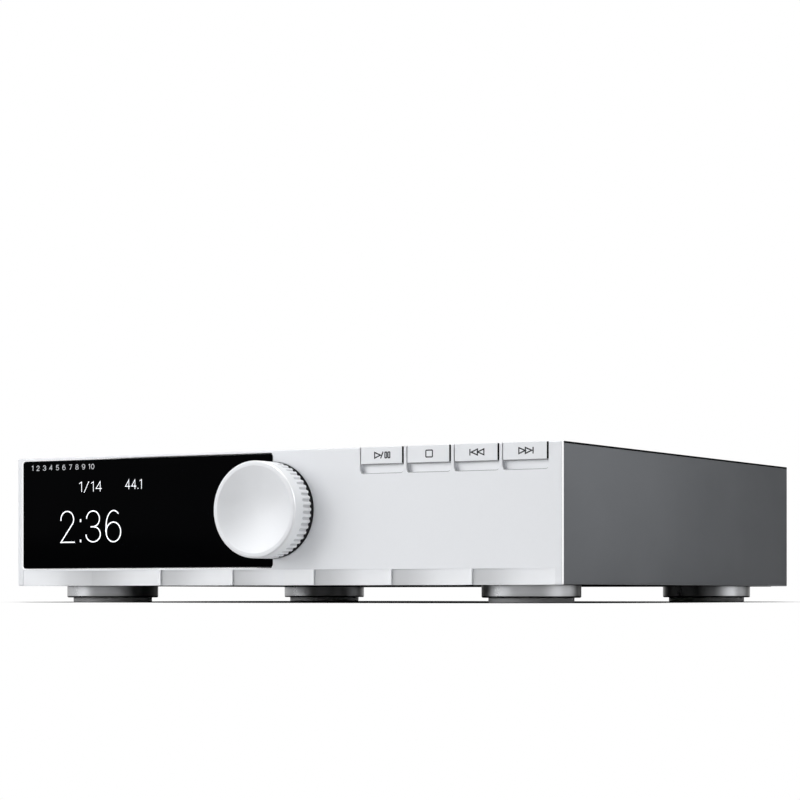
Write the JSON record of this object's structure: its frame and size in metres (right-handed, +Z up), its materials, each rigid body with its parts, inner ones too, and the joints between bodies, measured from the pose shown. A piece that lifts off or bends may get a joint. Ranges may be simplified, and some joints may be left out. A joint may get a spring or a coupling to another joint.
{
  "type": "cd player",
  "caption": "Compact top-loading disc player with a smoked display window, a dished knob, push keys, scalloped lower edge, hinged lid and laser mechanism.",
  "frame": {"origin": "on the floor under the middle of the bounding box, knob and rear sockets included", "axes": "+X to the right seen from the front, +Y to the back, +Z up; the front panel faces -Y"},
  "size_m": [0.26, 0.2534, 0.0614],
  "materials": {
    "satin_silver": "fine satin, pearl silver",
    "knob_metal": "satin turned, dished face",
    "spun_metal": "turned bright",
    "graphite_paint": "fine matt powder coat",
    "plated_steel": "plated",
    "gold_plate": "polished plating",
    "window_black": "polished black",
    "black_plastic": "moulded",
    "ivory_plastic": "moulded, waxy",
    "circuit_board": "solder resist",
    "grey_rubber": "matt",
    "smoked_glass": "smoked, polished",
    "lens_glass": "polished lens in a dark holder"
  },
  "bodies": {
    "case": {"base_tray": "graphite_paint", "top_cover": "graphite_paint", "front_panel": "satin_silver", "rear_panel": "graphite_paint", "display_window": "window_black", "display_module": "black_plastic", "knob_plate": "black_plastic", "encoder_body": "plated_steel", "encoder_nut": "plated_steel", "key_board": "circuit_board", "main_board": "circuit_board", "power_board": "circuit_board", "transformer": "plated_steel", "mains_inlet": "black_plastic", "switch_housing": "black_plastic", "rca_left": "gold_plate", "rca_right": "gold_plate", "coax_out": "gold_plate", "foot_disc_front_left": "spun_metal", "foot_disc_front_right": "spun_metal", "foot_disc_rear_left": "spun_metal", "foot_disc_rear_right": "spun_metal", "foot_pad_front_left": "grey_rubber", "foot_pad_front_right": "grey_rubber", "foot_pad_rear_left": "grey_rubber", "foot_pad_rear_right": "grey_rubber", "bay_liner": "black_plastic", "hinge_pin_left": "plated_steel", "hinge_pin_right": "plated_steel", "deck_post_front_left": "plated_steel", "deck_post_front_right": "plated_steel", "deck_post_rear_left": "plated_steel", "deck_post_rear_right": "plated_steel", "isolator_front_left": "grey_rubber", "isolator_front_right": "grey_rubber", "isolator_rear_left": "grey_rubber", "isolator_rear_right": "grey_rubber", "deck_frame": "plated_steel", "guide_rod_front": "plated_steel", "guide_rod_rear": "plated_steel", "spindle_motor": "plated_steel", "sled_motor": "plated_steel"},
    "knob_slider": {"encoder_plunger": "black_plastic"},
    "knob": {"knob": "knob_metal", "encoder_shaft": "plated_steel"},
    "key_next": {"key_next": "satin_silver"},
    "key_previous": {"key_previous": "satin_silver"},
    "key_stop": {"key_stop": "satin_silver"},
    "key_play": {"key_play": "satin_silver"},
    "lid": {"lid_frame": "graphite_paint", "lid_window": "smoked_glass", "clamp_cup": "black_plastic"},
    "clamp": {"disc_clamp": "ivory_plastic"},
    "spindle": {"spindle_hub": "black_plastic"},
    "sled": {"sled": "black_plastic"},
    "lens": {"lens_holder": "lens_glass"},
    "idler": {"idler_gear": "ivory_plastic"},
    "pinion": {"sled_pinion": "ivory_plastic"},
    "rocker": {"power_rocker": "black_plastic"}
  },
  "joints": [
    {"name": "knob_push", "type": "slide", "parent": "case", "child": "knob_slider", "axis": [0, 1, 0], "range_m": [0, 0.0005], "stiffness_N_per_m": 6000},
    {"name": "knob_turn", "type": "hinge", "parent": "knob_slider", "child": "knob", "pos_m": [0, -0.11435, 0.0372], "axis": [0, -1, 0], "continuous": true},
    {"name": "key_next_press", "type": "slide", "parent": "case", "child": "key_next", "axis": [0, 0, -1], "range_m": [0, 0.001], "stiffness_N_per_m": 1500},
    {"name": "key_previous_press", "type": "slide", "parent": "case", "child": "key_previous", "axis": [0, 0, -1], "range_m": [0, 0.001], "stiffness_N_per_m": 1500},
    {"name": "key_stop_press", "type": "slide", "parent": "case", "child": "key_stop", "axis": [0, 0, -1], "range_m": [0, 0.001], "stiffness_N_per_m": 1500},
    {"name": "key_play_press", "type": "slide", "parent": "case", "child": "key_play", "axis": [0, 0, -1], "range_m": [0, 0.001], "stiffness_N_per_m": 1500},
    {"name": "lid_open", "type": "hinge", "parent": "case", "child": "lid", "pos_m": [0, 0.07605, 0.0574], "axis": [-1, 0, 0], "range_deg": [0, 80]},
    {"name": "clamp_spin", "type": "hinge", "parent": "lid", "child": "clamp", "pos_m": [0, 0.00505, 0.0547], "axis": [0, 0, 1], "continuous": true},
    {"name": "spindle_spin", "type": "hinge", "parent": "case", "child": "spindle", "pos_m": [0, 0.00505, 0.0475], "axis": [0, 0, 1], "continuous": true},
    {"name": "sled_travel", "type": "slide", "parent": "case", "child": "sled", "axis": [1, 0, 0], "range_m": [0, 0.036]},
    {"name": "lens_focus", "type": "slide", "parent": "sled", "child": "lens", "axis": [0, 0, 1], "range_m": [-0.0003, 0.0003], "stiffness_N_per_m": 60},
    {"name": "idler_turn", "type": "hinge", "parent": "case", "child": "idler", "pos_m": [0.04, 0.03785, 0.0393], "axis": [0, 0, 1], "range_deg": [-5, 440]},
    {"name": "pinion_turn", "type": "hinge", "parent": "case", "child": "pinion", "pos_m": [0.028, 0.03785, 0.0393], "axis": [0, 0, 1], "range_deg": [-1310, 5]},
    {"name": "rocker_tilt", "type": "hinge", "parent": "case", "child": "rocker", "pos_m": [-0.066, 0.11435, 0.032], "axis": [1, 0, 0], "range_deg": [0, 16]}
  ],
  "couplings": [
    {"joint": "idler_turn", "follows": "sled_travel", "rad_per_m": 208.33},
    {"joint": "pinion_turn", "follows": "sled_travel", "rad_per_m": -625}
  ]
}
